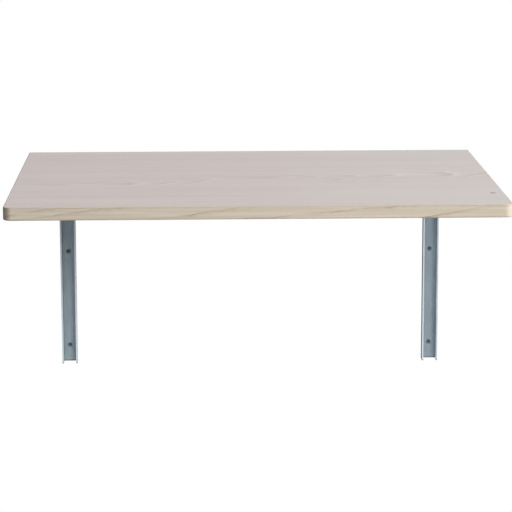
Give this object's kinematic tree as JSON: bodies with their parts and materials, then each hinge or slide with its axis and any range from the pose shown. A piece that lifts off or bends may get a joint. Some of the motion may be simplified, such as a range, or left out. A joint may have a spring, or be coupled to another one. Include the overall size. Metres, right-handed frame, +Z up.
{
  "type": "wall mounted drop leaf table",
  "caption": "Wall mounted drop leaf table: a pale wooden leaf on folding steel brackets, whose struts and spring catches hold it level and let it fold down flat.",
  "frame": {"origin": "on the wall's face, at the centre of the four outer wall screw holes", "axes": "+X to the right, +Y into the wall, +Z up, leaf level"},
  "size_m": [0.8, 0.603, 0.39],
  "materials": {
    "leaf_wood": "pale, matt clear coat",
    "zinc_steel": "zinc plated",
    "pin_steel": "plain turned",
    "screw_steel": "zinc plated",
    "spring_steel": "hardened",
    "washer_plastic": "natural"
  },
  "bodies": {
    "wall_side": {"left_wall_channel": "zinc_steel", "left_hinge_pin": "pin_steel", "left_hinge_washers": "washer_plastic", "left_strut_pivot_pin": "pin_steel", "left_strut_pivot_sleeve": "pin_steel", "left_strut_retainers": "spring_steel", "right_wall_channel": "zinc_steel", "right_hinge_pin": "pin_steel", "right_hinge_washers": "washer_plastic", "right_strut_pivot_pin": "pin_steel", "right_strut_pivot_sleeve": "pin_steel", "right_strut_retainers": "spring_steel"},
    "leaf": {"table_top": "leaf_wood", "left_arm_channel": "zinc_steel", "left_spring_catch": "spring_steel", "left_catch_rivets": "pin_steel", "left_board_screws": "screw_steel", "right_arm_channel": "zinc_steel", "right_spring_catch": "spring_steel", "right_catch_rivets": "pin_steel", "right_board_screws": "screw_steel"},
    "left_strut": {"left_strut_plate_inner": "zinc_steel", "left_strut_plate_outer": "zinc_steel", "left_strut_spacer": "pin_steel", "left_strut_spacer_rivet": "pin_steel", "left_guide_pin": "pin_steel"},
    "right_strut": {"right_strut_plate_inner": "zinc_steel", "right_strut_plate_outer": "zinc_steel", "right_strut_spacer": "pin_steel", "right_strut_spacer_rivet": "pin_steel", "right_guide_pin": "pin_steel"}
  },
  "joints": [
    {"name": "leaf_fold", "type": "hinge", "parent": "wall_side", "child": "leaf", "pos_m": [0, -0.015, 0.1715], "axis": [1, 0, 0], "range_deg": [0, 90], "deforming": ["left_spring_catch", "right_spring_catch"]},
    {"name": "left_strut_swing", "type": "hinge", "parent": "wall_side", "child": "left_strut", "pos_m": [-0.332, -0.013, 0.1165], "axis": [1, 0, 0], "range_deg": [0, 116.74]},
    {"name": "right_strut_swing", "type": "hinge", "parent": "wall_side", "child": "right_strut", "pos_m": [0.332, -0.013, 0.1165], "axis": [1, 0, 0], "range_deg": [0, 116.74]}
  ],
  "couplings": [
    {"joint": "left_strut_swing", "follows": "leaf_fold", "ratio": 1.297},
    {"joint": "right_strut_swing", "follows": "leaf_fold", "ratio": 1.297}
  ]
}
